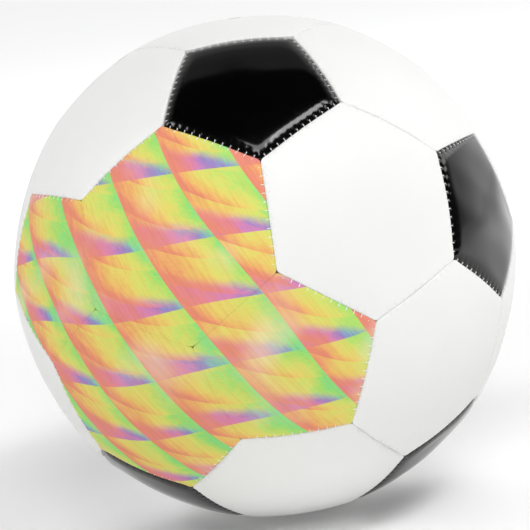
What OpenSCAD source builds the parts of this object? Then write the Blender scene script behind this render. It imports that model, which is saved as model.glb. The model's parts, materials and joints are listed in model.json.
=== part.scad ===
// Size 5 soccer ball: a stitched cover of 32 laminated panels around a rubber bladder with a needle valve.
// The panels follow a truncated icosahedron. +Z runs through the centre of the hexagon that holds the
// valve, the ball's centre is the origin, and the printed panels face -Y.

/* [Ball] */
// Diameter of the inflated ball across its seam corners
ball_d = 220; // [200:1:225]
// Radius of curvature of one panel, which is flatter than the ball
crown_r = 126; // [120:1:140]

/* [Cover laminate] */
// Thickness of the synthetic leather skin
skin_t = 1.2; // [1:0.1:1.4]
// Thickness of the foam behind the skin
foam_t = 1.6; // [1:0.1:2]
// Thickness of the woven lining behind the foam
lining_t = 1.4; // [0.8:0.1:1.6]
// Glue line between two layers
glue_t = 0.1; // [0.05:0.05:0.15]

/* [Seams] */
// Gap between the turned-in edges of two panels
seam_gap = 0.4; // [0.2:0.1:0.6]
// Depth of the bevel where a panel rolls down into its seam
seam_bevel = 1.5; // [1.2:0.1:1.6]
// Radius of the round that takes off each panel corner, down its turned-in edge
corner_r = 0.8; // [0.6:0.1:1]
// Stitches along one seam
stitches = 12; // [8:1:14]
// Distance from stitch to stitch
stitch_pitch = 3.5; // [3:0.1:3.6]
// Radius of the thread that crosses a seam
stitch_r = 0.3; // [0.2:0.05:0.3]
// Thickness of the thread that runs along a seam on the inside
run_t = 0.7; // [0.65:0.05:0.8]

/* [Bladder and valve] */
// Thickness of the rubber bladder
bladder_t = 1; // [0.8:0.1:1.4]
// Radius of the inflating needle's hole
needle_r = 0.9; // [0.7:0.1:1.1]
// Length of the inflating needle's hole
needle_depth = 9; // [6:1:10]
// Radius of the valve core
core_r = 2.3; // [2:0.1:2.6]
// Length of the valve core below its head
core_length = 15; // [13:1:18]
// Radius of the hole in the cover around the valve
valve_hole_r = 3.7; // [3.5:0.1:4]

/* [Hidden] */
$fn = 96;
PENTAGON = 5;
HEXAGON = 6;
ball_r = ball_d / 2;

// The twelve pentagon axes are the corners of an icosahedron that stands on one of its faces: four
// rings of three, each ring with its height on the unit sphere and the heading of its first corner.
upper_height = sqrt((5 + 2 * sqrt(5)) / 15);
middle_height = sqrt((5 - 2 * sqrt(5)) / 15);
ring_height = [upper_height, middle_height, -middle_height, -upper_height];
ring_heading = [-90, -30, -90, -30];
neighbour_dot = 1 / sqrt(5);
function ring_corner(height, heading) =
    let (reach = sqrt(1 - height * height)) [reach * cos(heading), reach * sin(heading), height];
axes = [for (ring = [0:3]) for (k = [0:2]) ring_corner(ring_height[ring], ring_heading[ring] + 120 * k)];
function near(i, j) = i != j && axes[i] * axes[j] > neighbour_dot - 0.01;

// A pentagon is one axis, a hexagon is three neighbouring axes, and a seam corner lies a third of the
// way from one axis to the next.
function unit(v) = v / norm(v);
function seam_corner(i, j) = unit(2 * axes[i] + axes[j]);
hexagons = [for (i = [0:11]) for (j = [i:11]) for (k = [j:11])
    if (near(i, j) && near(j, k) && near(i, k)) [i, j, k]];
function first_neighbour(i) = [for (j = [0:11]) if (near(i, j)) j][0];
function hexagon_axis(h) = unit(axes[h[0]] + axes[h[1]] + axes[h[2]]);

// Seams: around each pentagon, and between two hexagons along each icosahedron edge.
pentagon_seams = [for (i = [0:11]) for (j = [0:11]) for (k = [j:11])
    if (near(i, j) && near(i, k) && near(j, k)) [seam_corner(i, j), seam_corner(i, k)]];
hexagon_seams = [for (i = [0:11]) for (j = [i:11]) if (near(i, j)) [seam_corner(i, j), seam_corner(j, i)]];

// Angles of one panel, from its axis to its corners and to its sides.
corner_angle = [for (sides = [0:6]) sides == PENTAGON ? acos(axes[0] * seam_corner(0, first_neighbour(0)))
    : acos(hexagon_axis(hexagons[0]) * seam_corner(0, 1))];
function side_angle(sides) = atan(tan(corner_angle[sides]) * cos(180 / sides));

// The crown of a panel is a sphere about a point on its axis, and passes through the panel's corners.
function crown_centre(sides) = let (a = corner_angle[sides])
    ball_r * cos(a) - sqrt(crown_r * crown_r - pow(ball_r * sin(a), 2));
function crown_height(sides) = crown_centre(sides) + crown_r;
function side_radius(sides) = let (a = side_angle(sides), c = crown_centre(sides))
    c * cos(a) + sqrt(crown_r * crown_r - pow(c * sin(a), 2));

// Depths below the crown, and distances in from the middle of a seam.
foam_depth = skin_t + glue_t;
lining_depth = foam_depth + foam_t + glue_t;
laminate_t = lining_depth + lining_t;
flange_out = seam_gap / 2;
flange_in = flange_out + skin_t;
thread_clearance = 0.5;
layer_in = flange_in + run_t + thread_clearance;
bladder_clearance = 0.2;
bladder_r = crown_height(HEXAGON) - laminate_t - bladder_clearance;
flange_tip_r = bladder_r + bladder_clearance;
stitch_below_bevel = 0.8;
stitch_radius = ball_r - seam_bevel - stitch_below_bevel;

// Valve heights along +Z. The neck's top face stands a little below the cover around it.
valve_recess = 0.7;
valve_top = crown_height(HEXAGON) - valve_recess;
neck_clearance = 0.3;
neck_r = valve_hole_r - neck_clearance;
core_clearance = 0.05;
core_recess = 0.1;
head_lip = 0.5;
head_r = core_r + head_lip;
head_t = 0.9;
stem_wall = 2.7;
stem_r = core_r + stem_wall;
flange_r = 13;
flange_t = 1.4;
patch_r = 20;
patch_t = 0.8;
air_hole_r = 1.2;
stem_floor_t = 2.5;
bore_floor = valve_top - head_t - core_length;
neck_gap = 0.1;
bladder_hole_r = neck_r + neck_gap;
bladder_inner_r = bladder_r - bladder_t;
bond_gap = 0.05;
patch_outer_r = bladder_inner_r - bond_gap;
flange_top_r = patch_outer_r - patch_t - bond_gap;
stem_below_flange_top = 1.2;
lead_t = 0.8;
lead_r = needle_r + lead_t;

// The print covers two neighbouring pentagons and the two hexagons that touch both of them.
printed_pair = [5, 6];
function is_printed_pentagon(i) = i == printed_pair[0] || i == printed_pair[1];
function is_printed_hexagon(k) = len([for (i = hexagons[k]) if (is_printed_pentagon(i)) i]) == 2;
function two_digits(n) = str(n < 10 ? "0" : "", n);
function pentagon_name(i) =
    str(is_printed_pentagon(i) ? "printed" : "black", "_pentagon_panel_", two_digits(i + 1));
function hexagon_name(k) = str(is_printed_hexagon(k) ? "printed" : "white", "_hexagon_panel_", two_digits(k));
function is_upper(seam) = (seam[0] + seam[1]).z > 0.01;

// Puts a child drawn about +Z, with a corner over +X, at the given axis and corner on the ball.
module at(axis, corner) {
    y = unit(cross(axis, corner));
    x = cross(y, axis);
    multmatrix([[x.x, y.x, axis.x, 0], [x.y, y.y, axis.y, 0], [x.z, y.z, axis.z, 0], [0, 0, 0, 1]])
        children();
}

module at_pentagon(i) {
    at(axes[i], seam_corner(i, first_neighbour(i))) children();
}

module at_hexagon(h) {
    at(hexagon_axis(h), seam_corner(h[0], h[1])) children();
}

// A seam drawn in the XY plane, with its first corner on +X, at its place on the ball.
module at_seam(seam) {
    at(unit(cross(seam[0], seam[1])), seam[0]) children();
}

// Pyramid that widens upwards from its tip, with the given height and corner reach.
module pyramid(sides, height, width) {
    last = sides - 1;
    rim = [for (m = [0:last]) [width * cos(360 * m / sides), width * sin(360 * m / sides), height]];
    top_face = [for (m = [0:last]) last - m];
    side_faces = [for (m = [0:last]) [m, (m + 1) % sides, sides]];
    polyhedron(concat(rim, [[0, 0, 0]]), concat([top_face], side_faces));
}

// The space of one panel between the planes of its seams, kept inset away from the middle of each.
module sector(sides, inset) {
    reach = 2 * ball_r;
    translate([0, 0, inset / sin(side_angle(sides))])
        pyramid(sides, reach, reach * tan(corner_angle[sides]));
}

// Cuts the bevels of one panel: for each side a ring with a 45 degree face, about an axis square to
// that seam.
module bevel_cuts(sides) {
    start = side_radius(sides) - seam_bevel - flange_out;
    reach = 3 * seam_bevel;
    spread = 60;
    for (m = [0:sides - 1])
        rotate([0, side_angle(sides) - 90, 360 * (m + 0.5) / sides])
            rotate([0, 0, -spread / 2]) rotate_extrude(angle = spread)
                polygon([[start, 0], [start + reach, 0], [start + reach, reach]]);
}

// Takes the sharp corners off one panel, along the lines where three panels meet.
module corner_cuts(sides) {
    for (m = [0:sides - 1])
        rotate([0, corner_angle[sides], 360 * m / sides]) cylinder(r = corner_r, h = 2 * ball_r, $fn = 24);
}

// A sphere whose poles lie to the sides, so that a panel about +Z is one clean patch of it.
module side_poled_sphere(radius) {
    rotate([90, 0, 0]) sphere(radius);
}

// Everything that lies deeper than the given distance below a panel's crown.
module under_crown(sides, depth) {
    translate([0, 0, crown_centre(sides)]) side_poled_sphere(crown_r - depth);
}

module layer(sides, top_depth, bottom_depth, inset) {
    difference() {
        intersection() {
            under_crown(sides, top_depth);
            sector(sides, inset);
        }
        under_crown(sides, bottom_depth);
    }
}

module valve_hole() {
    translate([0, 0, bladder_r / 2]) cylinder(r = valve_hole_r, h = ball_r);
}

// Synthetic leather skin of one panel, a shallow dish whose rim is turned in for the seam.
module cover_panel(sides, shade) {
    color(shade) difference() {
        intersection() {
            under_crown(sides, 0);
            sector(sides, flange_out);
        }
        bevel_cuts(sides);
        corner_cuts(sides);
        intersection() {
            under_crown(sides, skin_t);
            sector(sides, flange_in);
        }
        side_poled_sphere(flange_tip_r);
    }
}

module foam_pad(sides) {
    layer(sides, foam_depth, foam_depth + foam_t, layer_in);
}

module lining(sides) {
    layer(sides, lining_depth, laminate_t, layer_in);
}

// Thread of one seam: a run along each side of it on the inside, and stitches across from run to run.
module seam_thread() {
    step = stitch_pitch / ball_r * 180 / PI;
    length = acos(seam_corner(0, 1) * seam_corner(1, 0));
    first = (length - (stitches - 1) * step) / 2;
    run_offset = flange_in + run_t / 2;
    end_angle = 0.4;
    color("white") {
        for (side = [-1, 1])
            translate([0, 0, side * run_offset]) rotate([0, 0, first - end_angle])
                rotate_extrude(angle = (stitches - 1) * step + 2 * end_angle)
                    translate([stitch_radius, 0]) square(run_t, center = true);
        for (k = [0:stitches - 1])
            rotate([0, 0, first + k * step]) translate([stitch_radius, 0, 0])
                cylinder(r = stitch_r, h = 2 * run_offset, center = true, $fn = 24);
    }
}

// Rubber bladder, with a hole for the valve's neck.
module bladder() {
    color("dimgray") difference() {
        sphere(bladder_r);
        sphere(bladder_inner_r);
        translate([0, 0, bladder_r / 2]) cylinder(r = bladder_hole_r, h = bladder_r);
    }
}

// A round piece of shell that lies against the inside of the bladder around the valve.
module inside_disc(radius, outer, thickness) {
    difference() {
        intersection() {
            sphere(outer);
            cylinder(r = radius, h = ball_r);
        }
        sphere(outer - thickness);
    }
}

module valve_patch() {
    color("dimgray") difference() {
        inside_disc(patch_r, patch_outer_r, patch_t);
        cylinder(r = bladder_hole_r, h = ball_r);
    }
}

// Rubber valve housing: a neck through the cover, a flange under the patch and a stem into the bladder.
module valve_housing() {
    stem_bottom = bore_floor - stem_floor_t;
    neck_bottom = flange_top_r - flange_t;
    color("black") difference() {
        union() {
            inside_disc(flange_r, flange_top_r, flange_t);
            translate([0, 0, stem_bottom])
                cylinder(r = stem_r, h = flange_top_r - stem_below_flange_top - stem_bottom);
            translate([0, 0, neck_bottom]) cylinder(r = neck_r, h = valve_top - neck_bottom);
        }
        translate([0, 0, bore_floor]) cylinder(r = core_r + core_clearance, h = ball_r);
        translate([0, 0, valve_top - head_t]) cylinder(r = head_r + core_clearance, h = ball_r);
        translate([0, 0, stem_bottom - stem_floor_t]) cylinder(r = air_hole_r, h = ball_r);
    }
}

// Self-sealing valve core, with the needle's hole and a conical lead into it.
module valve_core() {
    core_bottom = bore_floor + core_clearance;
    shoulder = valve_top - head_t + core_clearance;
    head_top = valve_top - core_recess;
    port_top = head_top - lead_t;
    color("black") difference() {
        union() {
            translate([0, 0, core_bottom]) cylinder(r = core_r, h = head_top - core_bottom);
            translate([0, 0, shoulder]) cylinder(r = head_r, h = head_top - shoulder);
        }
        translate([0, 0, port_top - needle_depth]) cylinder(r = needle_r, h = needle_depth + ball_r);
        translate([0, 0, port_top]) cylinder(r1 = needle_r, r2 = lead_r, h = lead_t);
        translate([0, 0, head_top]) cylinder(r = lead_r, h = ball_r);
    }
}

module pentagon_panel(i) {
    at_pentagon(i) cover_panel(PENTAGON, is_printed_pentagon(i) ? "orange" : "black");
}

module hexagon_panel(k) {
    at_hexagon(hexagons[k]) cover_panel(HEXAGON, is_printed_hexagon(k) ? "orange" : "white");
}

module valve_hexagon_panel() {
    color("white") difference() {
        hexagon_panel(0);
        valve_hole();
    }
}

module pentagon_foam_pads() {
    color("gainsboro") for (i = [0:11]) at_pentagon(i) foam_pad(PENTAGON);
}

module hexagon_foam_pads() {
    color("gainsboro") difference() {
        for (h = hexagons) at_hexagon(h) foam_pad(HEXAGON);
        valve_hole();
    }
}

module pentagon_linings() {
    color("wheat") for (i = [0:11]) at_pentagon(i) lining(PENTAGON);
}

module hexagon_linings() {
    color("wheat") difference() {
        for (h = hexagons) at_hexagon(h) lining(HEXAGON);
        valve_hole();
    }
}

module seam_threads(seams, above) {
    for (seam = seams) if (is_upper(seam) == above) at_seam(seam) seam_thread();
}

for (i = [0:11])
    pentagon_panel(i);
for (k = [1:19])
    hexagon_panel(k);
valve_hexagon_panel();
pentagon_foam_pads();
hexagon_foam_pads();
pentagon_linings();
hexagon_linings();
seam_threads(pentagon_seams, true);  // pentagon_seam_thread_upper
seam_threads(pentagon_seams, false);  // pentagon_seam_thread_lower
seam_threads(hexagon_seams, true);  // hexagon_seam_thread_upper
seam_threads(hexagon_seams, false);  // hexagon_seam_thread_lower
bladder();
valve_patch();
valve_housing();
valve_core();
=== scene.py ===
"""Looks of a stitched size 5 soccer ball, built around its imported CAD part.

Shapes are worked out in millimetres in the part's own frame and stored in metres. The cover is 32
closed panel meshes that replace the CAD panels, and the threads of the CAD seams are replaced by round
stitches. Everything inside the cover, and the valve, keeps its CAD mesh.
"""

import json
import math
from collections import namedtuple

import bpy
import numpy as np
from mathutils import Matrix, Vector


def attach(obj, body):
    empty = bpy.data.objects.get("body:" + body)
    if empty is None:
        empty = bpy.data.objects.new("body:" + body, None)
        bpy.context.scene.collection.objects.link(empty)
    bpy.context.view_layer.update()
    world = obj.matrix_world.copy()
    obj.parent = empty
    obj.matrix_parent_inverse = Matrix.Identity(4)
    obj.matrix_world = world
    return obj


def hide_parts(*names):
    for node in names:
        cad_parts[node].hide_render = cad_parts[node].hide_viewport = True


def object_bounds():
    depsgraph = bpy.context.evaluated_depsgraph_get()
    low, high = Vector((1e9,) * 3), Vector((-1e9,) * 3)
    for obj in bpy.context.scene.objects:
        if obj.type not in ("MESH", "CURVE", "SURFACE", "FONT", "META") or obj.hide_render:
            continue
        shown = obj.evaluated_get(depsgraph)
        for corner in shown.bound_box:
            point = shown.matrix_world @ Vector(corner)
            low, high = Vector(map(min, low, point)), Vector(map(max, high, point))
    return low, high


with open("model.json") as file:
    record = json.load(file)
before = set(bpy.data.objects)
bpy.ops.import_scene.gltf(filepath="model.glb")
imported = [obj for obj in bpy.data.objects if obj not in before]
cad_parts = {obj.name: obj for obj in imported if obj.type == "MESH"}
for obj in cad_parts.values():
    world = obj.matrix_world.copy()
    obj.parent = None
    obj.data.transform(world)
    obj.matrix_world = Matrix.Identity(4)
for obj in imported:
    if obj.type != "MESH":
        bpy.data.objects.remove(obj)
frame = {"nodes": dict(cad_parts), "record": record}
cad_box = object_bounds()

MM = 0.001
SEED = 11

# ---------------------------------------------------------------- camera

CAMERA_DISTANCE = 0.8138
CAMERA_DIRECTION = (-0.0373, -0.9809, 0.1908)
CAMERA_UP = (0.1387, 0.184, 0.9731)
CAMERA_LENS = 125.7
SENSOR_WIDTH = 36


def add_camera():
    """A camera that looks at the ball's centre, with its slight roll."""
    back = Vector(CAMERA_DIRECTION).normalized()
    right = Vector(CAMERA_UP).cross(back).normalized()
    up = back.cross(right)
    data = bpy.data.cameras.new("camera")
    data.lens = CAMERA_LENS
    data.sensor_width = SENSOR_WIDTH
    camera = bpy.data.objects.new("camera", data)
    turn = Matrix((right, up, back)).transposed().to_4x4()
    camera.matrix_world = Matrix.Translation(back * CAMERA_DISTANCE) @ turn
    bpy.context.scene.collection.objects.link(camera)
    bpy.context.scene.camera = camera


add_camera()
bpy.context.scene.view_settings.view_transform = "Standard"

# ---------------------------------------------------------------- layout of the ball, as in the CAD part

BALL_R = 110.0
CROWN_R = 126.0
PENTAGON, HEXAGON = 5, 6
PRINTED_PAIR = (5, 6)
NEIGHBOUR_DOT = 1 / math.sqrt(5) - 0.01
STITCHES = 12
STITCH_PITCH = 3.5
LAST_STITCH = (STITCHES - 1) / 2
VALVE_HOLE_R = 3.7
VALVE_HOLE_PLAY = 0.05


def unit(v):
    return v / np.linalg.norm(v)


def ball_axes():
    """The twelve pentagon axes: four rings of three corners of an icosahedron on one of its faces."""
    upper = math.sqrt((5 + 2 * math.sqrt(5)) / 15)
    middle = math.sqrt((5 - 2 * math.sqrt(5)) / 15)
    rings = ((upper, -90), (middle, -30), (-middle, -90), (-upper, -30))
    found = []
    for height, heading in rings:
        for k in range(3):
            angle = math.radians(heading + 120 * k)
            reach = math.sqrt(1 - height * height)
            found.append(np.array((reach * math.cos(angle), reach * math.sin(angle), height)))
    return found


AXES = ball_axes()
TWELVE = range(12)


def near(i, j):
    return i != j and AXES[i] @ AXES[j] > NEIGHBOUR_DOT


def seam_corner(i, j):
    """The corner of pentagon i that points at pentagon j."""
    return unit(2 * AXES[i] + AXES[j])


def hexagon_axis(h):
    return unit(AXES[h[0]] + AXES[h[1]] + AXES[h[2]])


# each hexagon is the three pentagons round it
HEXAGONS = [
    (i, j, k)
    for i in TWELVE
    for j in range(i, 12)
    for k in range(j, 12)
    if near(i, j) and near(j, k) and near(i, k)
]

# the edge of a panel along one seam: the width and depth of its roll, the depth of its wider shoulder,
# how hard the stitches pull at it, and how far a thread's centre line stands above it
Edge = namedtuple("Edge", "width roll shoulder pull rise")
PLAIN_EDGE = Edge(width=1.3, roll=0.6, shoulder=0.3, pull=0.8, rise=-0.05)
PRINTED_EDGE = Edge(width=1.3, roll=0.12, shoulder=0.1, pull=0.2, rise=-0.12)
PADDED_EDGE = Edge(width=2.2, roll=0.8, shoulder=1.2, pull=1.8, rise=0.08)
CORNER_EDGE = Edge(width=1.3, roll=0.22, shoulder=0.2, pull=0.0, rise=0.0)

# a seam is its two ends, the edge to the left of the way between them, and the edge to the right
Seam = namedtuple("Seam", "start end left right")


def pentagon_edges(i, j, k):
    """The edges along a pentagon's seam: the pentagon's own, and its neighbour's."""
    if i not in PRINTED_PAIR:
        return PADDED_EDGE, PLAIN_EDGE
    both = j in PRINTED_PAIR or k in PRINTED_PAIR
    return (PRINTED_EDGE, PRINTED_EDGE) if both else (PLAIN_EDGE, PLAIN_EDGE)


def hexagon_edges(i, j):
    """The edges along the seam of two hexagons, which runs from pentagon i to pentagon j."""
    return (PRINTED_EDGE, PRINTED_EDGE) if (i, j) == PRINTED_PAIR else (PLAIN_EDGE, PLAIN_EDGE)


PENTAGON_SEAMS = [
    Seam(seam_corner(i, j), seam_corner(i, k), *pentagon_edges(i, j, k))
    for i in TWELVE
    for j in TWELVE
    for k in TWELVE
    if near(i, j) and near(i, k) and near(j, k) and AXES[i] @ np.cross(AXES[j], AXES[k]) > 0
]
HEXAGON_SEAMS = [
    Seam(seam_corner(i, j), seam_corner(j, i), *hexagon_edges(i, j))
    for i in TWELVE
    for j in range(i, 12)
    if near(i, j)
]


def corner_angle(sides):
    """The angle at the ball's centre between a panel's axis and its corners."""
    if sides == PENTAGON:
        neighbour = next(j for j in TWELVE if near(0, j))
        return math.acos(AXES[0] @ seam_corner(0, neighbour))
    return math.acos(hexagon_axis(HEXAGONS[0]) @ seam_corner(0, 1))


def side_angle(sides):
    """The angle at the ball's centre between a panel's axis and the middles of its sides."""
    return math.atan(math.tan(corner_angle(sides)) * math.cos(math.pi / sides))


def crown_centre(sides):
    """Where the centre of a panel's crown lies along its axis. It is negative, so past the ball's centre."""
    angle = corner_angle(sides)
    return BALL_R * math.cos(angle) - math.sqrt(CROWN_R**2 - (BALL_R * math.sin(angle)) ** 2)


def crown_radius(sides, cosine):
    """Distance from the ball's centre to a panel's crown, in directions with this cosine to its axis."""
    c = crown_centre(sides)
    return c * cosine + np.sqrt(CROWN_R**2 - c * c * (1 - cosine**2))


def smooth_step(low, high, x):
    t = np.clip((x - low) / (high - low), 0, 1)
    return t * t * (3 - 2 * t)


# ---------------------------------------------------------------- the rolled, stitched edge of a panel

EDGE_X = 0.02  # half the gap left between two panels
SHOULDER_WIDTH = 6.0
NOTCH_DEPTH = 0.1
NOTCH_SIGMA = 0.34
NOTCH_FADE = (1.3, 2.4)
SCALLOP_DEPTH = 0.06
SCALLOP_FADE = (1.0, 5.0)
HOLE_X = 1.3
HOLE_SIGMA = 0.16
HOLE_DEPTH = 0.22
WAVE_LENGTH = 22.0
WAVE_RANGE = (0.7, 1.8)
WAVES = 9


def edge_depth(x, edge):
    """How far a panel's surface has dropped below its crown, x mm from the middle of the seam."""
    inward = np.clip(1 - x / edge.width, 0, 1)
    round_off = 1 - np.sqrt(1 - inward**2)
    return edge.roll * round_off + edge.shoulder * np.clip(1 - x / SHOULDER_WIDTH, 0, 1) ** 2


def stitch_offset(along):
    """Distance along the seam to the nearest stitch."""
    nearest = np.clip(np.round(along / STITCH_PITCH + LAST_STITCH), 0, STITCHES - 1) - LAST_STITCH
    return along - nearest * STITCH_PITCH


def hole_share(x, offset):
    """1 in the middle of a needle hole, fading to 0 round it."""
    return np.exp(-0.5 * ((x - HOLE_X) ** 2 + offset**2) / HOLE_SIGMA**2)


def stitch_depth(x, offset, pull):
    """How deep a stitch pulls the edge down: a notch under the thread, in a wider scallop."""
    notch = NOTCH_DEPTH * np.exp(-0.5 * (offset / NOTCH_SIGMA) ** 2) * (1 - smooth_step(*NOTCH_FADE, x))
    near_stitch = 0.5 + 0.5 * np.cos(2 * math.pi * np.clip(offset / STITCH_PITCH, -0.5, 0.5))
    scallop = SCALLOP_DEPTH * near_stitch * (1 - smooth_step(*SCALLOP_FADE, x))
    return pull * (notch + scallop)


def undulation(points, amplitude):
    """A soft, seeded unevenness of the padding, from a few plane waves."""
    rng = np.random.default_rng(SEED)
    total = np.zeros(points.shape[:-1])
    for _ in range(WAVES):
        direction = unit(rng.normal(size=3))
        length = WAVE_LENGTH * rng.uniform(*WAVE_RANGE)
        total += np.cos(points @ direction * (2 * math.pi / length) + rng.uniform(0, 2 * math.pi))
    return amplitude * total / math.sqrt(WAVES / 2)


# ---------------------------------------------------------------- the rings of a panel's mesh

# columns: places along a side, close together at each stitch, and four more before each corner
CELL_OFFSETS = (-1.0, -0.55, -0.25, 0.0, 0.25, 0.55, 1.0)
MARGIN_COLUMNS = (20.65, 21.1, 21.55, 21.95)

# rings: distances from the seams. Further in, a ring has every second, fourth or eighth column
ROLL_WIDTH = 1.3
ROLL_STEPS = 9
OUTER_RINGS = (1.2, 1.36, 1.44, 1.54, 1.66, 1.8, 1.98, 2.2, 2.5, 2.9, 3.5, 4.3)
HALF_RINGS = (5.2, 6.2, 7.4, 8.8, 10.5)
QUARTER_RINGS = (12.5, 15, 18, 21, 24)
LAST_RINGS = {PENTAGON: (27, 30), HEXAGON: (27, 30, 34)}
VALVE_RING = 30

# the inside of the skin, the flange that is turned in along the seam, and the wall that joins them
SKIN_T = 1.2
FLANGE_X = 1.45
FLANGE_TIP_R = 104.45
INNER_RINGS = ((18, 4), (8.8, 2), (4.3, 1), (2.5, 1), (FLANGE_X, 1))
WALL_DEPTHS = (3.6, 3.0, 2.4)

# the hole for the valve: how far outside it each ring is, and how deep
INNER_VALVE_STEPS = ((0, SKIN_T), (1.5, SKIN_T))
OUTER_VALVE_STEPS = ((2.2, 0), (1.1, 0), (0.6, 0.02), (0.28, 0.15), (0.08, 0.42), (0, 0.75))

ROUNDING = 0.45
LEAST_ROUNDING = 0.01
ROUNDING_FADE = (6, 12)
ROUNDING_PASSES = 5
STRAIGHT_FADE = (2.4, 6.0)
CORNER_FADE = (16.5, 21.5)

# a ring of points: unit directions, distances from the ball's centre, distance from the seams, share of
# a needle hole, and whether it is on the outside
Ring = namedtuple("Ring", "directions radii inset hole outside")


def new_ring(directions, radii, inset, hole=0.0, outside=False):
    full = np.ones(len(directions))
    return Ring(directions, radii * full, inset * full, hole * full, outside)


def seam_columns():
    """Places along one side, in mm from its middle, from its first corner on."""
    inner = []
    for k in range(STITCHES):
        if k:
            inner.append((k - LAST_STITCH - 0.5) * STITCH_PITCH)
        inner += [(k - LAST_STITCH) * STITCH_PITCH + offset for offset in CELL_OFFSETS]
    corner = BALL_R * math.acos(PENTAGON_SEAMS[0].start @ PENTAGON_SEAMS[0].end) / 2
    before = [-m for m in reversed(MARGIN_COLUMNS)]
    return np.array([-corner] + before + inner + list(MARGIN_COLUMNS))


class PanelShape:
    """Works out points of one kind of panel, drawn about +Z with a corner over +X."""

    def __init__(self, sides):
        self.sides = sides
        self.beta = side_angle(sides)
        self.side_r = float(crown_radius(sides, math.cos(self.beta)))
        middles = np.radians(360 * (np.arange(sides) + 0.5) / sides)
        zero = np.zeros(sides)
        self.out = np.stack((np.cos(middles), np.sin(middles), zero), 1)
        self.tangent = np.stack((-np.sin(middles), np.cos(middles), zero), 1)
        up = np.array((0, 0, 1.0))
        self.seam_middle = self.out * math.sin(self.beta) + up * math.cos(self.beta)
        self.inward = up * math.sin(self.beta) - self.out * math.cos(self.beta)
        self.columns = seam_columns()
        self.half_side = math.tan(corner_angle(sides)) * math.sin(math.pi / sides)

    def crown(self, directions):
        return crown_radius(self.sides, directions[:, 2])

    def directions(self, x, step):
        """Unit directions of one ring at x from the seams, with every step-th column."""
        columns = self.columns[::step]
        reach = math.tan(self.beta - x / self.side_r)
        scale = reach / math.tan(self.beta)
        plane = np.tan(columns / BALL_R) / math.cos(self.beta)
        inner_end = math.tan(-self.columns[len(MARGIN_COLUMNS) + 1] / BALL_R) / math.cos(self.beta)
        keep = 1 + (scale - 1) * smooth_step(*STRAIGHT_FADE, x)
        known = (-self.half_side, -inner_end, inner_end, self.half_side)
        placed = (-self.half_side * scale, -inner_end * keep, inner_end * keep, self.half_side * scale)
        across = np.interp(plane, known, placed)
        flat = self.out[:, None] * reach + self.tangent[:, None] * across[None, :, None]
        flat[..., 2] = 1
        ring = flat.reshape(-1, 3)
        ring /= np.linalg.norm(ring, axis=1)[:, None]
        return self.rounded(ring, x)

    def rounded(self, ring, x):
        """Rounds the ring's corners, by a soft least distance to the seams."""
        soft = ROUNDING * (1 - float(smooth_step(*ROUNDING_FADE, x)))
        if soft < LEAST_ROUNDING:
            return ring
        for _ in range(ROUNDING_PASSES):
            distance = self.side_r * ring @ self.inward.T
            least = distance.min(1)
            weight = np.exp(-(distance - least[:, None]) / soft)
            total = weight.sum(1)
            soft_least = least - soft * np.log(total)
            slope = (weight / total[:, None]) @ self.inward
            slope -= ring * (ring * slope).sum(1)[:, None]
            move = (x - soft_least) / (slope**2).sum(1) / self.side_r
            ring = ring + slope * move[:, None]
            ring /= np.linalg.norm(ring, axis=1)[:, None]
        return ring

    def along(self, ring, step):
        """Where each point of a ring is along its own side, in mm from the side's middle."""
        side = np.repeat(np.arange(self.sides), len(self.columns[::step]))
        forward = (ring * self.tangent[side]).sum(1)
        middle = (ring * self.seam_middle[side]).sum(1)
        return BALL_R * np.arctan2(forward, middle)

    def rings(self, hole_r, edges, corner_edge):
        """Yields each ring: from the middle of the inside, round the edge, to the middle of the outside.
        edges holds each side's edge, which fades to corner_edge."""
        last = LAST_RINGS[self.sides]
        if hole_r:
            yield from self.valve_rings(hole_r, INNER_VALVE_STEPS, outside=False)
        for x, step in [(x, 8) for x in reversed(last)] + list(INNER_RINGS):
            ring = self.directions(x, step)
            yield new_ring(ring, self.crown(ring) - SKIN_T, x)
        for x in (FLANGE_X, EDGE_X):
            yield new_ring(self.directions(x, 1), FLANGE_TIP_R, x)
        wall = self.directions(EDGE_X, 1)
        for depth in WALL_DEPTHS:
            yield new_ring(wall, self.crown(wall) - depth, EDGE_X)
        start = math.acos(1 - EDGE_X / ROLL_WIDTH)
        roll = [ROLL_WIDTH * (1 - math.cos(a)) for a in np.linspace(start, math.pi / 2, ROLL_STEPS)]
        outer = [(x, 1) for x in sorted(roll + list(OUTER_RINGS))]
        outer += [(x, 2) for x in HALF_RINGS] + [(x, 4) for x in QUARTER_RINGS] + [(x, 8) for x in last]
        for x, step in outer:
            yield self.outer_ring(x, step, edges, corner_edge)
        if hole_r:
            yield from self.valve_rings(hole_r, OUTER_VALVE_STEPS, outside=True)

    def outer_ring(self, x, step, edges, corner_edge):
        """A ring on the outside, with the roll of the edge, the pull of the stitches and their holes."""
        ring = self.directions(x, step)
        along = self.along(ring, step)
        offset = stitch_offset(along)
        hole = hole_share(x, offset)
        straight = 1 - smooth_step(*CORNER_FADE, np.abs(along))
        side_edges = np.repeat(edges, len(self.columns[::step]), axis=0)
        edge = Edge(*(corner_edge + (side_edges - corner_edge) * straight[:, None]).T)
        depth = edge_depth(x, edge) + stitch_depth(x, offset, edge.pull)
        depth += HOLE_DEPTH * hole * np.minimum(1, edge.pull)
        return new_ring(ring, self.crown(ring) - depth, x, hole, outside=True)

    def valve_rings(self, hole_r, steps, outside):
        """Round rings about the axis: the edge of the hole for the valve, inside or outside."""
        ring = self.directions(VALVE_RING, 8)
        flat = ring[:, :2] / np.linalg.norm(ring[:, :2], axis=1)[:, None]
        for extra, depth in steps:
            sine = (hole_r + extra) / BALL_R
            turned = np.column_stack((flat * sine, np.full(len(flat), math.sqrt(1 - sine * sine))))
            yield new_ring(turned, self.crown(turned) - depth, VALVE_RING, outside=outside)


# ---------------------------------------------------------------- meshes


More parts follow.
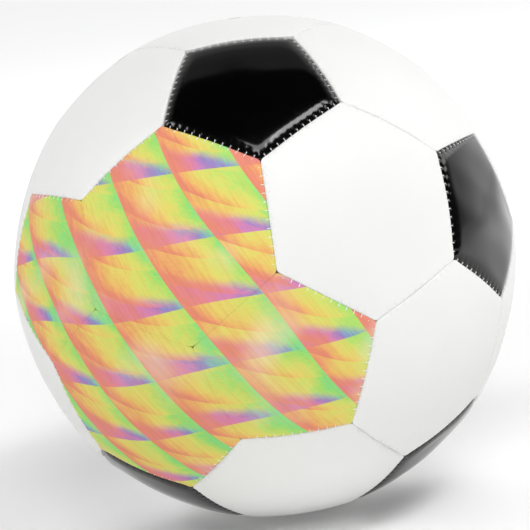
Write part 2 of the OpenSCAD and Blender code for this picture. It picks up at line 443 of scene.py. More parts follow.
def ring_faces(rings):
    """Faces between rings of vertex numbers, with five corners where one ring has twice the columns."""
    quads, fives = [], []
    for a, b in zip(rings, rings[1:]):
        if len(a) == len(b):
            quads.append(np.stack((a, np.roll(a, -1), np.roll(b, -1), b), 1))
        elif len(a) == 2 * len(b):
            fives.append(np.stack((a[::2], a[1::2], np.roll(a, -2)[::2], np.roll(b, -1), b), 1))
        else:
            fives.append(np.stack((a, np.roll(a, -1), np.roll(b, -2)[::2], b[1::2], b[::2]), 1))
    return quads, fives


def fan_faces(ring, apex):
    """Triangles from a ring of vertex numbers to one vertex."""
    return np.stack((ring, np.roll(ring, -1), np.full(len(ring), apex)), 1)


def build_mesh(name, points, groups, numbers=None):
    """A smooth mesh from points in mm and arrays of faces, with numbers at its points for the shaders."""
    mesh = bpy.data.meshes.new(name)
    mesh.vertices.add(len(points))
    mesh.vertices.foreach_set("co", (points * MM).astype(np.float32).ravel())
    corners = np.concatenate([g.ravel() for g in groups])
    sizes = np.concatenate([np.full(len(g), g.shape[1]) for g in groups])
    mesh.loops.add(len(corners))
    mesh.loops.foreach_set("vertex_index", corners.astype(np.int32))
    mesh.polygons.add(len(sizes))
    mesh.polygons.foreach_set("loop_start", (np.cumsum(sizes) - sizes).astype(np.int32))
    mesh.polygons.foreach_set("use_smooth", np.ones(len(sizes), bool))
    for key, values in (numbers or {}).items():
        attribute = mesh.attributes.new(key, "FLOAT", "POINT")
        attribute.data.foreach_set("value", values.astype(np.float32))
    mesh.update(calc_edges=True)
    mesh.validate()
    piece = bpy.data.objects.new(name, mesh)
    bpy.context.scene.collection.objects.link(piece)
    return piece


# ---------------------------------------------------------------- cover panels

SHAPES = {sides: PanelShape(sides) for sides in (PENTAGON, HEXAGON)}
UNEVENNESS = {"white_cover": 0.05, "printed_cover": 0.04, "black_cover": 0.14}
UNEVENNESS_FADE = (1.7, 9)
PRINTED_SEAMS = [seam for seam in PENTAGON_SEAMS + HEXAGON_SEAMS if seam.left == PRINTED_EDGE]
PRINTED_MIDDLES = np.array([unit(seam.start + seam.end) for seam in PRINTED_SEAMS])
SAME_PLACE_DOT = 0.999


def panel_edges(sides, turn, slot):
    """The edge on each side of a panel, and the edge that they all fade to at its corners."""
    if slot == "black_cover":
        return np.array([PADDED_EDGE] * sides), np.array(PADDED_EDGE)
    middles = SHAPES[sides].seam_middle @ turn.T
    in_print = (middles @ PRINTED_MIDDLES.T).max(1) > SAME_PLACE_DOT
    edges = np.where(in_print[:, None], PRINTED_EDGE, PLAIN_EDGE)
    return edges, np.array(PRINTED_EDGE if slot == "printed_cover" else CORNER_EDGE)


def build_panel(node, sides, axis, corner, slot, hole_r=0.0):
    """One cover panel, as a closed shell with a rolled and stitched edge."""
    across = unit(np.cross(axis, corner))
    turn = np.stack((np.cross(across, axis), across, axis), 1)
    rings = list(SHAPES[sides].rings(hole_r, *panel_edges(sides, turn, slot)))
    points, numbers, count = [], [], 0
    for ring in rings:
        places = (ring.directions * ring.radii[:, None]) @ turn.T
        if ring.outside:
            swell = undulation(places, UNEVENNESS[slot]) * smooth_step(*UNEVENNESS_FADE, ring.inset)
            places += (ring.directions @ turn.T) * swell[:, None]
        points.append(places)
        numbers.append(np.arange(count, count + len(places)))
        count += len(places)
    insets = [ring.inset for ring in rings]
    holes = [ring.hole for ring in rings]
    quads, fives = ring_faces(numbers)
    caps = []
    if hole_r:
        quads += ring_faces([numbers[-1], numbers[0]])[0]
    else:
        top = axis * float(crown_radius(sides, 1.0))
        points += [(top - axis * SKIN_T)[None], (top + axis * undulation(top, UNEVENNESS[slot]))[None]]
        insets += [insets[0][:1], insets[-1][:1]]
        holes += [np.zeros(2)]
        caps = [fan_faces(numbers[0], count)[:, ::-1], fan_faces(numbers[-1], count + 1)]
    piece = build_mesh(
        node.replace("panel", "cover"),
        np.concatenate(points),
        quads + fives + caps,
        {"inset_mm": np.concatenate(insets), "hole": np.concatenate(holes)},
    )
    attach(piece, "ball")
    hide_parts(node)
    return piece


def build_cover():
    """All 32 panels, by the record's material slot."""
    covers = {"white_cover": [], "black_cover": [], "printed_cover": []}
    for i in TWELVE:
        printed = i in PRINTED_PAIR
        slot = "printed_cover" if printed else "black_cover"
        node = f"{'printed' if printed else 'black'}_pentagon_panel_{i + 1:02d}"
        neighbour = next(j for j in TWELVE if near(i, j))
        corner = seam_corner(i, neighbour)
        covers[slot].append(build_panel(node, PENTAGON, AXES[i], corner, slot))
    for k, h in enumerate(HEXAGONS):
        printed = sum(i in PRINTED_PAIR for i in h) == 2
        slot = "printed_cover" if printed else "white_cover"
        node = f"{'printed' if printed else 'white'}_hexagon_panel_{k:02d}" if k else "valve_hexagon_panel"
        hole_r = 0.0 if k else VALVE_HOLE_R + VALVE_HOLE_PLAY
        corner = seam_corner(h[0], h[1])
        covers[slot].append(build_panel(node, HEXAGON, hexagon_axis(h), corner, slot, hole_r))
    return covers


# ---------------------------------------------------------------- stitches

THREAD_R = 0.19
THREAD_SIDES = 8
RUN_R = 0.3
RUN_X = 1.8
RUN_RADIUS = 107.7
RUN_STEPS = 16
RUN_PAST = 0.005  # how far the runs inside go past the last stitch, as an angle
UPPER_FROM = 0.01  # a seam is an upper one if its ends' heights, on a unit ball, add up to more

# a stitch's way up through its hole and over to the seam: the place, and how deep its centre line is sunk
RISE_PLACE, RISE_DEPTH = HOLE_X + 0.05, 1.9
STITCH_LINE = ((HOLE_X + 0.02, 0.35), (HOLE_X - 0.12, 0.04), (1.0, 0), (0.8, 0), (0.55, 0), (0.3, 0))


def half_stitch(edge):
    """(x, depth below the crown) of a stitch's centre line, from the run inside, up and over to the seam."""
    line = [(RUN_X, BALL_R - RUN_RADIUS), (RISE_PLACE, RISE_DEPTH)]
    for x, sunk in STITCH_LINE:
        surface = edge_depth(x, edge) + stitch_depth(x, 0.0, edge.pull)
        line.append((x, float(surface) + sunk - edge.rise))
    return line


def stitch_profile(left, right):
    """(x, depth) of a whole stitch, from the run on its left to the run on its right."""
    first, second = half_stitch(left), half_stitch(right)
    middle = (first[-1][1] + second[-1][1]) / 2
    return first + [(0.0, middle)] + [(-x, depth) for x, depth in reversed(second)]


def tube(centres, radius):
    """The points of a round tube along its centres, one circle after another, and the circle's angles."""
    ahead = np.gradient(centres, axis=0)
    ahead /= np.linalg.norm(ahead, axis=1)[:, None]
    guide = unit(np.cross(centres[-1] - centres[0], centres.mean(0)))
    side = guide - ahead * (ahead @ guide)[:, None]
    side /= np.linalg.norm(side, axis=1)[:, None]
    other = np.cross(ahead, side)
    angles = 2 * math.pi * np.arange(THREAD_SIDES) / THREAD_SIDES
    circle = side[:, None] * np.cos(angles)[None, :, None] + other[:, None] * np.sin(angles)[None, :, None]
    return (centres[:, None] + radius * circle).reshape(-1, 3), angles


class Tubes:
    """Round tubes, closed at both ends and gathered for one mesh."""

    def __init__(self):
        self.points, self.quads, self.ends = [], [], []
        self.numbers = {"along_mm": [], "round": [], "printed": []}
        self.count = 0

    def add(self, centres, radius, printed=False):
        points, angles = tube(centres, radius)
        rings = (self.count + np.arange(len(points))).reshape(len(centres), THREAD_SIDES)
        self.quads += [quads[:, ::-1] for quads in ring_faces(list(rings))[0]]
        self.ends += [rings[:1], rings[-1:, ::-1]]
        walked = np.concatenate(([0], np.cumsum(np.linalg.norm(np.diff(centres, axis=0), axis=1))))
        self.numbers["along_mm"].append(np.repeat(walked, THREAD_SIDES))
        self.numbers["round"].append(np.tile(angles, len(centres)))
        self.numbers["printed"].append(np.full(len(points), float(printed)))
        self.points.append(points)
        self.count += len(points)


def build_threads(node, seams):
    """The thread of several seams: stitches across each seam and the runs that join them inside."""
    tubes = Tubes()
    beta = side_angle(HEXAGON)
    for seam in seams:
        middle, ahead = unit(seam.start + seam.end), unit(seam.end - seam.start)
        across = np.cross(middle, ahead)
        profile = stitch_profile(seam.left, seam.right)
        for k in range(STITCHES):
            angle = (k - LAST_STITCH) * STITCH_PITCH / BALL_R
            outward = middle * math.cos(angle) + ahead * math.sin(angle)
            crown = float(crown_radius(HEXAGON, math.cos(beta) * math.cos(angle)))
            centres = np.array([outward * (crown - depth) + across * x for x, depth in profile])
            tubes.add(centres, THREAD_R, printed=seam.left == PRINTED_EDGE)
        reach = LAST_STITCH * STITCH_PITCH / BALL_R + RUN_PAST
        angles = np.linspace(-reach, reach, RUN_STEPS)
        run = RUN_RADIUS * (np.cos(angles)[:, None] * middle + np.sin(angles)[:, None] * ahead)
        for side in (-1, 1):
            tubes.add(run + side * RUN_X * across, RUN_R)
    piece = build_mesh(
        node.replace("thread", "stitches"),
        np.concatenate(tubes.points),
        tubes.quads + tubes.ends,
        {key: np.concatenate(values) for key, values in tubes.numbers.items()},
    )
    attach(piece, "ball")
    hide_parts(node)
    return piece


def build_stitches():
    """The threads of the pentagons' and of the hexagons' seams, each in an upper and a lower piece."""
    pieces = []
    for kind, seams in (("pentagon", PENTAGON_SEAMS), ("hexagon", HEXAGON_SEAMS)):
        for part, above in (("upper", True), ("lower", False)):
            chosen = [seam for seam in seams if ((seam.start + seam.end)[2] > UPPER_FROM) == above]
            pieces.append(build_threads(f"{kind}_seam_thread_{part}", chosen))
    return pieces


# ---------------------------------------------------------------- shader nodes


class Graph:
    """Short calls that add and join the nodes of one tree. A value is a number, a tuple or a socket."""

    def __init__(self, tree):
        self.tree = tree
        tree.nodes.clear()

    def put(self, socket, value):
        if isinstance(value, bpy.types.NodeSocket):
            self.tree.links.new(value, socket)
        else:
            socket.default_value = value

    def node(self, kind, settings=None, **inputs):
        made = self.tree.nodes.new(kind)
        for key, value in (settings or {}).items():
            setattr(made, key, value)
        for key, value in inputs.items():
            self.put(made.inputs[key.replace("_", " ")], value)
        return made

    def math(self, operation, *values):
        made = self.node("ShaderNodeMath", {"operation": operation})
        for socket, value in zip(made.inputs, values):
            self.put(socket, value)
        return made.outputs[0]

    def plus(self, first, second):
        return self.math("ADD", first, second)

    def minus(self, first, second):
        return self.math("SUBTRACT", first, second)

    def times(self, first, second):
        return self.math("MULTIPLY", first, second)

    def vector(self, operation, *values):
        made = self.node("ShaderNodeVectorMath", {"operation": operation})
        for socket, value in zip(made.inputs, values):
            self.put(socket, value)
        return made.outputs["Value" if operation in ("DOT_PRODUCT", "LENGTH") else "Vector"]

    def dot(self, first, second):
        return self.vector("DOT_PRODUCT", first, second)

    def scaled(self, vector, amount):
        made = self.node("ShaderNodeVectorMath", {"operation": "SCALE"}, Vector=vector, Scale=amount)
        return made.outputs["Vector"]

    def combined(self, *values):
        made = self.node("ShaderNodeCombineXYZ")
        for socket, value in zip(made.inputs, values):
            self.put(socket, value)
        return made.outputs[0]

    def step(self, value, low, high):
        """0 below low, 1 above high, and smooth between."""
        made = self.node("ShaderNodeMapRange", {"interpolation_type": "SMOOTHSTEP"})
        for key, number in (("Value", value), ("From Min", low), ("From Max", high)):
            self.put(made.inputs[key], number)
        return made.outputs["Result"]

    def remap(self, value, low, high):
        """Takes 0 to 1 over to low to high."""
        made = self.node("ShaderNodeMapRange")
        for key, number in (("Value", value), ("To Min", low), ("To Max", high)):
            self.put(made.inputs[key], number)
        return made.outputs["Result"]

    def swing(self, value, width):
        """Takes 0 to 1 over to a range of that width about 0."""
        return self.times(self.minus(value, 0.5), width)

    def ramp(self, value, stops):
        made = self.node("ShaderNodeValToRGB", Fac=value)
        elements = made.color_ramp.elements
        while len(elements) < len(stops):
            elements.new(1.0)
        for element, (place, colour) in zip(elements, stops):
            element.position = place
            element.color = (*colour, 1)
        return made.outputs["Color"]

    def mix(self, share, first, second, blend="MIX"):
        made = self.node("ShaderNodeMix", {"data_type": "RGBA", "blend_type": blend})
        self.put(made.inputs[0], share)
        for socket, value in ((made.inputs[6], first), (made.inputs[7], second)):
            self.put(socket, (*value, 1) if isinstance(value, tuple) else value)
        return made.outputs[2]

    def noise(self, where, scale, detail=2.0, roughness=0.5):
        made = self.node("ShaderNodeTexNoise", Vector=where, Scale=scale, Detail=detail, Roughness=roughness)
        return made.outputs[0]

    def attribute(self, name):
        return self.node("ShaderNodeAttribute", {"attribute_name": name}).outputs["Fac"]

    def place(self):
        """Where a point is on its own object, in metres."""
        return self.node("ShaderNodeTexCoord").outputs["Object"]

    def bump(self, height, depth_mm, over=None):
        """A bumpy normal, on top of another one if given."""
        made = self.node("ShaderNodeBump", Height=height, Distance=depth_mm * MM)
        if over is not None:
            self.put(made.inputs["Normal"], over)
        return made.outputs["Normal"]


def linear(red, green, blue):
    """A colour given as 0 to 255 on screen, as the renderer's own numbers."""
    channels = [c / 255 for c in (red, green, blue)]
    return tuple(c / 12.92 if c <= 0.04045 else ((c + 0.055) / 1.055) ** 2.4 for c in channels)


def new_material(name):
    """A material, its graph and its shader."""
    material = bpy.data.materials.new(name)
    material.use_nodes = True
    graph = Graph(material.node_tree)
    shader = graph.node("ShaderNodeBsdfPrincipled")
    output = graph.node("ShaderNodeOutputMaterial")
    graph.put(output.inputs["Surface"], shader.outputs[0])
    return material, graph, shader


# ---------------------------------------------------------------- materials of the cover

HOLE_SHARES = (0.3, 0.8)  # the shares of a needle hole between which its painted shade sets in
# the insets, in mm, over which the painted shade down in the seam fades out
SEAM_SHADE_FROM, SEAM_SHADE_TO = 0.04, 0.25


def seam_painted_shade(graph, colour, where, dark, in_hole, in_seam):
    """Painted shade: mixes a cover's colour towards a dark tone in its needle holes and down in the seam."""
    hole = graph.times(graph.step(graph.attribute("hole"), *HOLE_SHARES), in_hole)
    deep = graph.minus(1.0, graph.step(graph.attribute("inset_mm"), SEAM_SHADE_FROM, SEAM_SHADE_TO))
    cloudy = graph.remap(graph.noise(where, scale=60.0, detail=3.0), 0.5 * in_seam, in_seam)
    return graph.mix(graph.math("MAXIMUM", hole, graph.times(deep, cloudy)), colour, dark)


def satin_finish(graph, shader, where, low, high):
    """Fine grain and soft unevenness, as on satin synthetic leather, with a roughness from low to high."""
    grain = graph.noise(where, scale=2600.0, detail=3.0, roughness=0.6)
    peel = graph.noise(where, scale=420.0)
    fine = graph.bump(grain, depth_mm=0.012)
    graph.put(shader.inputs["Normal"], graph.bump(peel, depth_mm=0.03, over=fine))
    rubbed = graph.noise(where, scale=45.0, detail=4.0, roughness=0.6)
    graph.put(shader.inputs["Roughness"], graph.remap(rubbed, low, high))


def white_cover_material():
    material, graph, shader = new_material("white_cover")
    where = graph.place()
    mottle = graph.noise(where, scale=30.0, detail=4.0, roughness=0.55)
    colour = graph.mix(mottle, linear(231, 232, 231), linear(237, 237, 235))
    # painted shade in the needle holes and down in the seam
    colour = seam_painted_shade(graph, colour, where, linear(120, 120, 120), in_hole=0.8, in_seam=0.15)
    graph.put(shader.inputs["Base Color"], colour)
    satin_finish(graph, shader, where, low=0.42, high=0.55)
    return material


def black_cover_material():
    material, graph, shader = new_material("black_cover")
    where = graph.place()
    mottle = graph.noise(where, scale=60.0, detail=3.0)
    colour = graph.mix(mottle, (0.0006, 0.0006, 0.0007), (0.0012, 0.0012, 0.0013))
    # painted shade in the needle holes and down in the seam
    colour = seam_painted_shade(graph, colour, where, (0.01, 0.01, 0.01), in_hole=0.5, in_seam=0.5)
    graph.put(shader.inputs["Base Color"], colour)
    scuff = graph.step(graph.noise(where, scale=220.0, detail=5.0, roughness=0.65), 0.55, 0.8)
    graph.put(shader.inputs["Roughness"], graph.remap(scuff, 0.12, 0.2))
    creases = graph.node("ShaderNodeTexNoise", Vector=where, Scale=130.0, Detail=2.0, Distortion=0.6)
    fine = graph.bump(graph.noise(where, scale=1800.0), depth_mm=0.001)
    graph.put(shader.inputs["Normal"], graph.bump(creases.outputs[0], depth_mm=0.012, over=fine))
    shader.inputs["Specular IOR Level"].default_value = 0.42
    return material


# ---------------------------------------------------------------- the print

# the plane that the print is laid out on: its middle, and its own right and up
PRINT_MIDDLE = (-0.5, -0.866, 0.0)
PRINT_RIGHT = (0.866, -0.5, 0.0)
PRINT_UP = (0.0, 0.0, 1.0)

# the lattice's two directions, in cells per mm, and where the print's middle is, in cells
LATTICE_ACROSS = (0.0303, 0.0198, 0.0)
LATTICE_DOWN = (0.0035, -0.0362, 0.0)
LATTICE_START = (10.3, 10.2)
LATTICE_BEND = 16.0

# the fine streaks fan out from a point just outside each cell, and the broad strokes from one far away
STREAK_CENTRE = (0.3, 0.35)
STREAKS_ACROSS, STREAKS_ALONG, STREAKS_APART = 44.0, 8.5, 40.0
STROKE_CENTRE = (60.0, 90.0, 0.0)
STROKE_ACROSS = (0.55, 0.32, 0.0)
STROKE_ALONG = 0.19

# the creases: how far they bow, how steeply they cross a cell, how sharp they are, and where they end
CREASE_BOW, CREASE_SLOPE, CREASE_SHARPNESS, CREASE_END = 0.75, 1.6, 3.0, 1.15

# a cell's tone is its place on the colour ramps, shifted by streaks, strokes, clouds, creases and chance
STREAK_SHIFT, STROKE_SHIFT, CLOUD_SHIFT, CREASE_SHIFT = 0.42, 0.3, 0.9, 0.4
TONE_SPAN = 0.88
TONE_CHANCE = (0.02, 0.18)

# the wedge of lower colours: its slant, how much the streaks and clouds fray it, and its soft edge
WEDGE_SLANT = 0.34
WEDGE_FRAY = 0.25
WEDGE_CHANCE = (0.0, 0.15)
WEDGE_EDGE = (0.38, 0.62)

# pale patches, and the shade in the hollows of the strokes
PALE_EDGE = (0.5, 0.8)
PALE_SHARES = (0.08, 0.6)
SHADE_EDGE = (0.62, 0.3)
SHADE_SHARE = 0.16

UPPER_COLOURS = (
    (0.0, linear(229, 128, 99)),
    (0.12, linear(234, 149, 94)),
    (0.3, linear(234, 181, 90)),
    (0.5, linear(229, 210, 94)),
    (0.72, linear(210, 220, 94)),
    (0.92, linear(153, 222, 96)),
    (1.0, linear(122, 220, 118)),
)
LOWER_COLOURS = (
    (0.0, linear(229, 126, 107)),
    (0.3, linear(225, 120, 134)),
    (0.5, linear(212, 118, 180)),
    (0.7, linear(143, 115, 193)),
    (0.83, linear(115, 149, 199)),
    (0.95, linear(117, 214, 143)),
)
PALE_PRINT = linear(238, 222, 190)
SHADED_PRINT = linear(206, 190, 130)


def print_plane(graph, where):
    """The ball's surface laid flat about the middle of the print, in mm."""
    direction = graph.vector("NORMALIZE", where)
    spread = graph.plus(graph.dot(direction, PRINT_MIDDLE), 1.0)
    scale = graph.math("DIVIDE", 2 * BALL_R, spread)
    right = graph.times(graph.dot(direction, PRINT_RIGHT), scale)
    up = graph.times(graph.dot(direction, PRINT_UP), scale)
    return graph.combined(right, up)


def print_cells(graph, flat):
    """Where a point is in its cell of a bent lattice, across and down, and the cell's own chance number."""
    warp = graph.node("ShaderNodeTexNoise", Vector=flat, Scale=0.012, Detail=0.0).outputs[1]
    bend = graph.scaled(graph.vector("SUBTRACT", warp, (0.5, 0.5, 0.5)), LATTICE_BEND)
    bent = graph.vector("ADD", flat, bend)
    across = graph.plus(graph.dot(bent, LATTICE_ACROSS), LATTICE_START[0])
    down = graph.plus(graph.dot(bent, LATTICE_DOWN), LATTICE_START[1])
    cell = graph.combined(graph.math("FLOOR", across), graph.math("FLOOR", down))
    chance = graph.node("ShaderNodeTexWhiteNoise", {"noise_dimensions": "2D"}, Vector=cell).outputs[0]
    return graph.math("FRACT", across), graph.math("FRACT", down), chance


def print_streaks(graph, s, t, chance):
    """Fine short streaks that fan out in each cell."""
    spread = graph.math("ARCTAN2", graph.plus(t, STREAK_CENTRE[1]), graph.plus(s, STREAK_CENTRE[0]))
    across = graph.times(spread, STREAKS_ACROSS)
    along = graph.times(graph.plus(s, t), STREAKS_ALONG)
    where = graph.combined(across, along, graph.times(chance, STREAKS_APART))
    return graph.noise(where, scale=1.0, detail=4.0, roughness=0.65)


def print_strokes(graph, flat):
    """Broad strokes over the whole print."""
    away = graph.vector("LENGTH", graph.vector("ADD", flat, STROKE_CENTRE))
    where = graph.combined(graph.times(away, STROKE_ALONG), graph.dot(flat, STROKE_ACROSS))
    return graph.noise(where, scale=1.0, detail=2.0, roughness=0.6)


def print_crease(graph, s, t, chance):
    """Curved creases over each cell, sharp on one side, that fade towards the cell's end."""
    bow = graph.times(graph.times(s, graph.minus(2.0, s)), CREASE_BOW)
    slope = graph.minus(graph.times(t, CREASE_SLOPE), bow)
    fold = graph.math("FRACT", graph.plus(graph.plus(slope, chance), 2.0))
    return graph.times(graph.math("POWER", fold, CREASE_SHARPNESS), graph.minus(CREASE_END, s))


def lattice_print(graph, where):
    """A made-up diamond lattice: each cell runs orange, yellow and green, over a pink to blue wedge."""
    flat = print_plane(graph, where)
    s, t, chance = print_cells(graph, flat)
    strokes = print_strokes(graph, flat)
    jitter = graph.swing(print_streaks(graph, s, t, chance), STREAK_SHIFT)
    scratch = graph.swing(strokes, STROKE_SHIFT)
    drift = graph.swing(graph.noise(flat, scale=0.05, detail=3.0), CLOUD_SHIFT)

    tone = graph.plus(graph.plus(graph.plus(s, jitter), scratch), drift)
    tone = graph.plus(graph.times(tone, TONE_SPAN), graph.remap(chance, *TONE_CHANCE))
    tone = graph.minus(tone, graph.times(print_crease(graph, s, t, chance), CREASE_SHIFT))
    wedge = graph.minus(t, graph.times(s, WEDGE_SLANT))
    wedge = graph.plus(wedge, graph.times(graph.plus(jitter, drift), WEDGE_FRAY))
    wedge = graph.minus(wedge, graph.remap(chance, *WEDGE_CHANCE))
    upper, lower = graph.ramp(tone, UPPER_COLOURS), graph.ramp(tone, LOWER_COLOURS)
    colour = graph.mix(graph.step(wedge, *WEDGE_EDGE), upper, lower)

    pale = graph.step(graph.noise(flat, scale=0.028, detail=1.0), *PALE_EDGE)
    colour = graph.mix(graph.remap(pale, *PALE_SHARES), colour, PALE_PRINT)
    shade = graph.times(graph.step(strokes, *SHADE_EDGE), SHADE_SHARE)
    return graph.mix(shade, colour, SHADED_PRINT, "MULTIPLY")


def printed_cover_material():
    material, graph, shader = new_material("printed_cover")
    where = graph.place()
    colour = lattice_print(graph, graph.scaled(where, 1 / MM))
    # painted shade in the needle holes and down in the seam
    colour = seam_painted_shade(graph, colour, where, linear(120, 100, 80), in_hole=0.5, in_seam=0.1)
    graph.put(shader.inputs["Base Color"], colour)
    satin_finish(graph, shader, where, low=0.58, high=0.68)
    shader.inputs["Specular IOR Level"].default_value = 0.35
    return material


# ---------------------------------------------------------------- other materials

THREAD_PLY = 0.55  # the length of one turn of the thread's plies, in mm


def thread_material():
    """Twisted white thread, which takes the print's colours where it is in the print."""
    material, graph, shader = new_material("thread")
    where = graph.place()
    along = graph.times(graph.attribute("along_mm"), 2 * math.pi / THREAD_PLY)
    ply = graph.math("SINE", graph.plus(along, graph.attribute("round")))
    height = graph.math("ABSOLUTE", ply)
    # the plies' crests are lighter and the grooves between them darker, from the same height as the bump:
    # painted shade
    colour = graph.mix(height, linear(236, 236, 233), linear(252, 252, 250))
    dyed = lattice_print(graph, graph.scaled(where, 1 / MM))
    graph.put(shader.inputs["Base Color"], graph.mix(graph.attribute("printed"), colour, dyed))
    graph.put(shader.inputs["Normal"], graph.bump(height, depth_mm=0.06))
    graph.put(shader.inputs["Roughness"], graph.remap(graph.noise(where, scale=5000.0), 0.5, 0.7))
    shader.inputs["Sheen Weight"].default_value = 0.15
    return material


def foam_material():
    material, graph, shader = new_material("foam")
    where = graph.place()
    cells = graph.node("ShaderNodeTexVoronoi", Vector=where, Scale=1500.0).outputs[0]
    # darker in the pits of the cells, from the same height as the bump: painted shade
    colour = graph.mix(graph.remap(cells, 0.0, 1.4), linear(186, 188, 180), linear(226, 226, 218))
    graph.put(shader.inputs["Base Color"], colour)
    graph.put(shader.inputs["Normal"], graph.bump(cells, depth_mm=0.2))
    graph.put(shader.inputs["Roughness"], graph.remap(graph.noise(where, scale=300.0), 0.8, 0.95))
    return material


def lining_material():
    material, graph, shader = new_material("lining")
    where = graph.place()
    warp, weft = (
        graph.node("ShaderNodeTexWave", {"bands_direction": way}, Vector=where, Scale=300.0).outputs[1]
        for way in ("X", "Y")
    )
    weave = graph.math("MAXIMUM", warp, weft)
    slub = graph.noise(where, scale=140.0, detail=3.0)
    # darker between the yarns, from the same weave height as the bump: painted shade; the slub's tone is the
    # yarn's own
    tint = graph.times(weave, graph.remap(slub, 0.6, 1.0))
    graph.put(shader.inputs["Base Color"], graph.mix(tint, linear(176, 164, 138), linear(226, 216, 192)))
    graph.put(shader.inputs["Normal"], graph.bump(weave, depth_mm=0.15))
    graph.put(shader.inputs["Roughness"], graph.remap(slub, 0.75, 0.95))
    shader.inputs["Sheen Weight"].default_value = 0.3
    return material


def rubber_material(name, light, dark, low, high):
    """Grey rubber between two tones, with a roughness from low to high."""
    material, graph, shader = new_material(name)
    where = graph.place()
    bloom = graph.noise(where, scale=90.0, detail=4.0, roughness=0.6)
    graph.put(shader.inputs["Base Color"], graph.mix(bloom, (dark,) * 3, (light,) * 3))
    graph.put(shader.inputs["Roughness"], graph.remap(bloom, low, high))
    grain = graph.noise(where, scale=1800.0, detail=3.0)
    graph.put(shader.inputs["Normal"], graph.bump(grain, depth_mm=0.02))
    return material


# ---------------------------------------------------------------- stage

FLOOR_GAP = 0.0001
FLOOR_RADII = (400, 1500, 6000, 30000, 120000)
FLOOR_SIDES = 64

# the floor gives off a little light of its own, and more further away, in metres from the ball
GLOW_NEAR, GLOW_FAR = 0.2, 1.2
FLOOR_GLOW, FAR_GLOW = 0.08, 0.66

# the light all round, by height: white below, grey above, nearly dark overhead
SKY = (
    (0.0, (1.0, 1.0, 1.0)),
    (0.6, (0.97, 0.97, 0.98)),
    (0.76, (0.6, 0.6, 0.6)),
    (0.86, (0.03, 0.03, 0.03)),
    (1.0, (0.01, 0.01, 0.01)),
)
FRONT_LIGHT, BACK_LOW_LIGHT, BACK_HIGH_LIGHT = 0.06, 1.14, 0.7
BACK_HEIGHTS = (0.2, 0.55)
BACK_SIDES = (-0.15, 0.6)

# name, azimuth and elevation in degrees, width and height in metres, radiance
LIGHT_DISTANCE = 2.2
SOFTBOXES = (
    ("key", 48, 54, (1.1, 0.46), 9.3),
    ("front_high", 10, 56, (1.0, 0.5), 4.8),
    ("front", 0, 40, (0.8, 0.8), 6.0),
    ("left", -80, 40, (0.8, 0.8), 6.3),
    ("right", 85, 35, (0.8, 0.8), 3.4),
    ("back_right", 120, 34, (1.4, 0.9), 1.2),
    ("back_high", 172, 64, (1.7, 0.65), 0.2),
)


def floor_material():
    material, graph, shader = new_material("floor")
    where = graph.place()
    mottle = graph.noise(where, scale=1.5, detail=3.0)
    graph.put(shader.inputs["Base Color"], graph.mix(mottle, linear(246, 246, 246), linear(250, 250, 250)))
    graph.put(shader.inputs["Roughness"], graph.remap(graph.noise(where, scale=40.0), 0.75, 0.9))
    shader.inputs["Emission Color"].default_value = (1, 1, 1, 1)
    away = graph.step(graph.vector("LENGTH", where), GLOW_NEAR, GLOW_FAR)
    graph.put(shader.inputs["Emission Strength"], graph.remap(away, FLOOR_GLOW, FAR_GLOW))
    return material


def add_floor(height):
    """A wide round floor, so wide that its rim lies on the horizon."""
    angles = 2 * math.pi * np.arange(FLOOR_SIDES) / FLOOR_SIDES
    circle = np.column_stack((np.cos(angles), np.sin(angles), np.zeros(FLOOR_SIDES)))
    points = np.concatenate([np.zeros((1, 3))] + [radius * circle for radius in FLOOR_RADII])
    points[:, 2] = height / MM
    numbers = [1 + FLOOR_SIDES * n + np.arange(FLOOR_SIDES) for n in range(len(FLOOR_RADII))]
    middle = fan_faces(numbers[0], 0)
    quads = [faces[:, ::-1] for faces in ring_faces(numbers)[0]]
    floor = build_mesh("floor", points, [middle] + quads)
    floor.data.materials.append(floor_material())


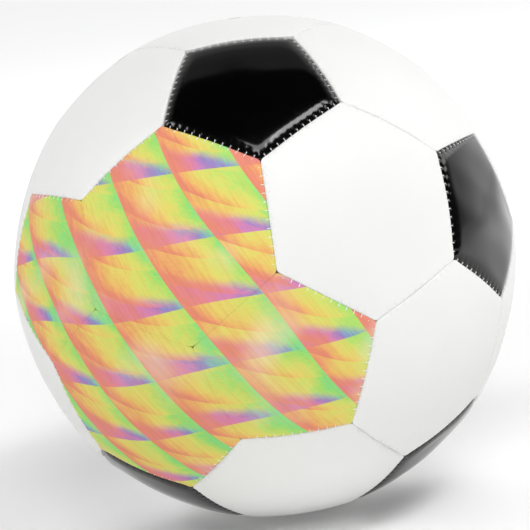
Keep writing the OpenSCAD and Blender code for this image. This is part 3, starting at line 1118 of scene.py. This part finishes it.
def add_world():
    """Soft light all round, bright from the horizon to half way up and nearly dark overhead."""
    world = bpy.data.worlds.new("studio")
    world.use_nodes = True
    graph = Graph(world.node_tree)
    direction = graph.node("ShaderNodeTexCoord").outputs["Generated"]
    height = graph.dot(direction, (0.0, 0.0, 1.0))
    behind = graph.dot(direction, (0.0, 1.0, 0.0))
    back = graph.remap(graph.step(height, *BACK_HEIGHTS), BACK_LOW_LIGHT, BACK_HIGH_LIGHT)
    strength = graph.remap(graph.step(behind, *BACK_SIDES), FRONT_LIGHT, back)
    background = graph.node("ShaderNodeBackground", Color=graph.ramp(height, SKY), Strength=strength)
    output = graph.node("ShaderNodeOutputWorld")
    graph.put(output.inputs["Surface"], background.outputs[0])
    bpy.context.scene.world = world


def add_softbox(name, azimuth, elevation, size, radiance):
    """A rectangular soft light aimed at the ball. Azimuth 0 is the front, and 90 is +X."""
    a, e = math.radians(azimuth), math.radians(elevation)
    place = Vector((math.sin(a) * math.cos(e), -math.cos(a) * math.cos(e), math.sin(e))) * LIGHT_DISTANCE
    data = bpy.data.lights.new(name, "AREA")
    data.shape = "RECTANGLE"
    data.size, data.size_y = size
    data.energy = radiance * math.pi * size[0] * size[1]
    light = bpy.data.objects.new(name, data)
    light.location = place
    light.rotation_euler = place.to_track_quat("Z", "Y").to_euler()
    bpy.context.scene.collection.objects.link(light)


add_world()
for softbox in SOFTBOXES:
    add_softbox(*softbox)
add_floor(cad_box[0][2] - FLOOR_GAP)

# ---------------------------------------------------------------- pieces and their finishes

covers = build_cover()
finishes = {
    "white_cover": white_cover_material(),
    "black_cover": black_cover_material(),
    "printed_cover": printed_cover_material(),
    "thread": thread_material(),
    "foam": foam_material(),
    "lining": lining_material(),
    "bladder_rubber": rubber_material("bladder_rubber", light=0.05, dark=0.03, low=0.6, high=0.8),
    "valve_rubber": rubber_material("valve_rubber", light=0.03, dark=0.015, low=0.4, high=0.55),
}
for slot, pieces in covers.items():
    for piece in pieces:
        piece.data.materials.append(finishes[slot])
for piece in build_stitches():
    piece.data.materials.append(finishes["thread"])

for row in frame["record"]["subparts"]:
    node = frame["nodes"][row["node"]]
    if not node.hide_render:
        node.data.materials.clear()
        node.data.materials.append(finishes[row["material_slot"]])
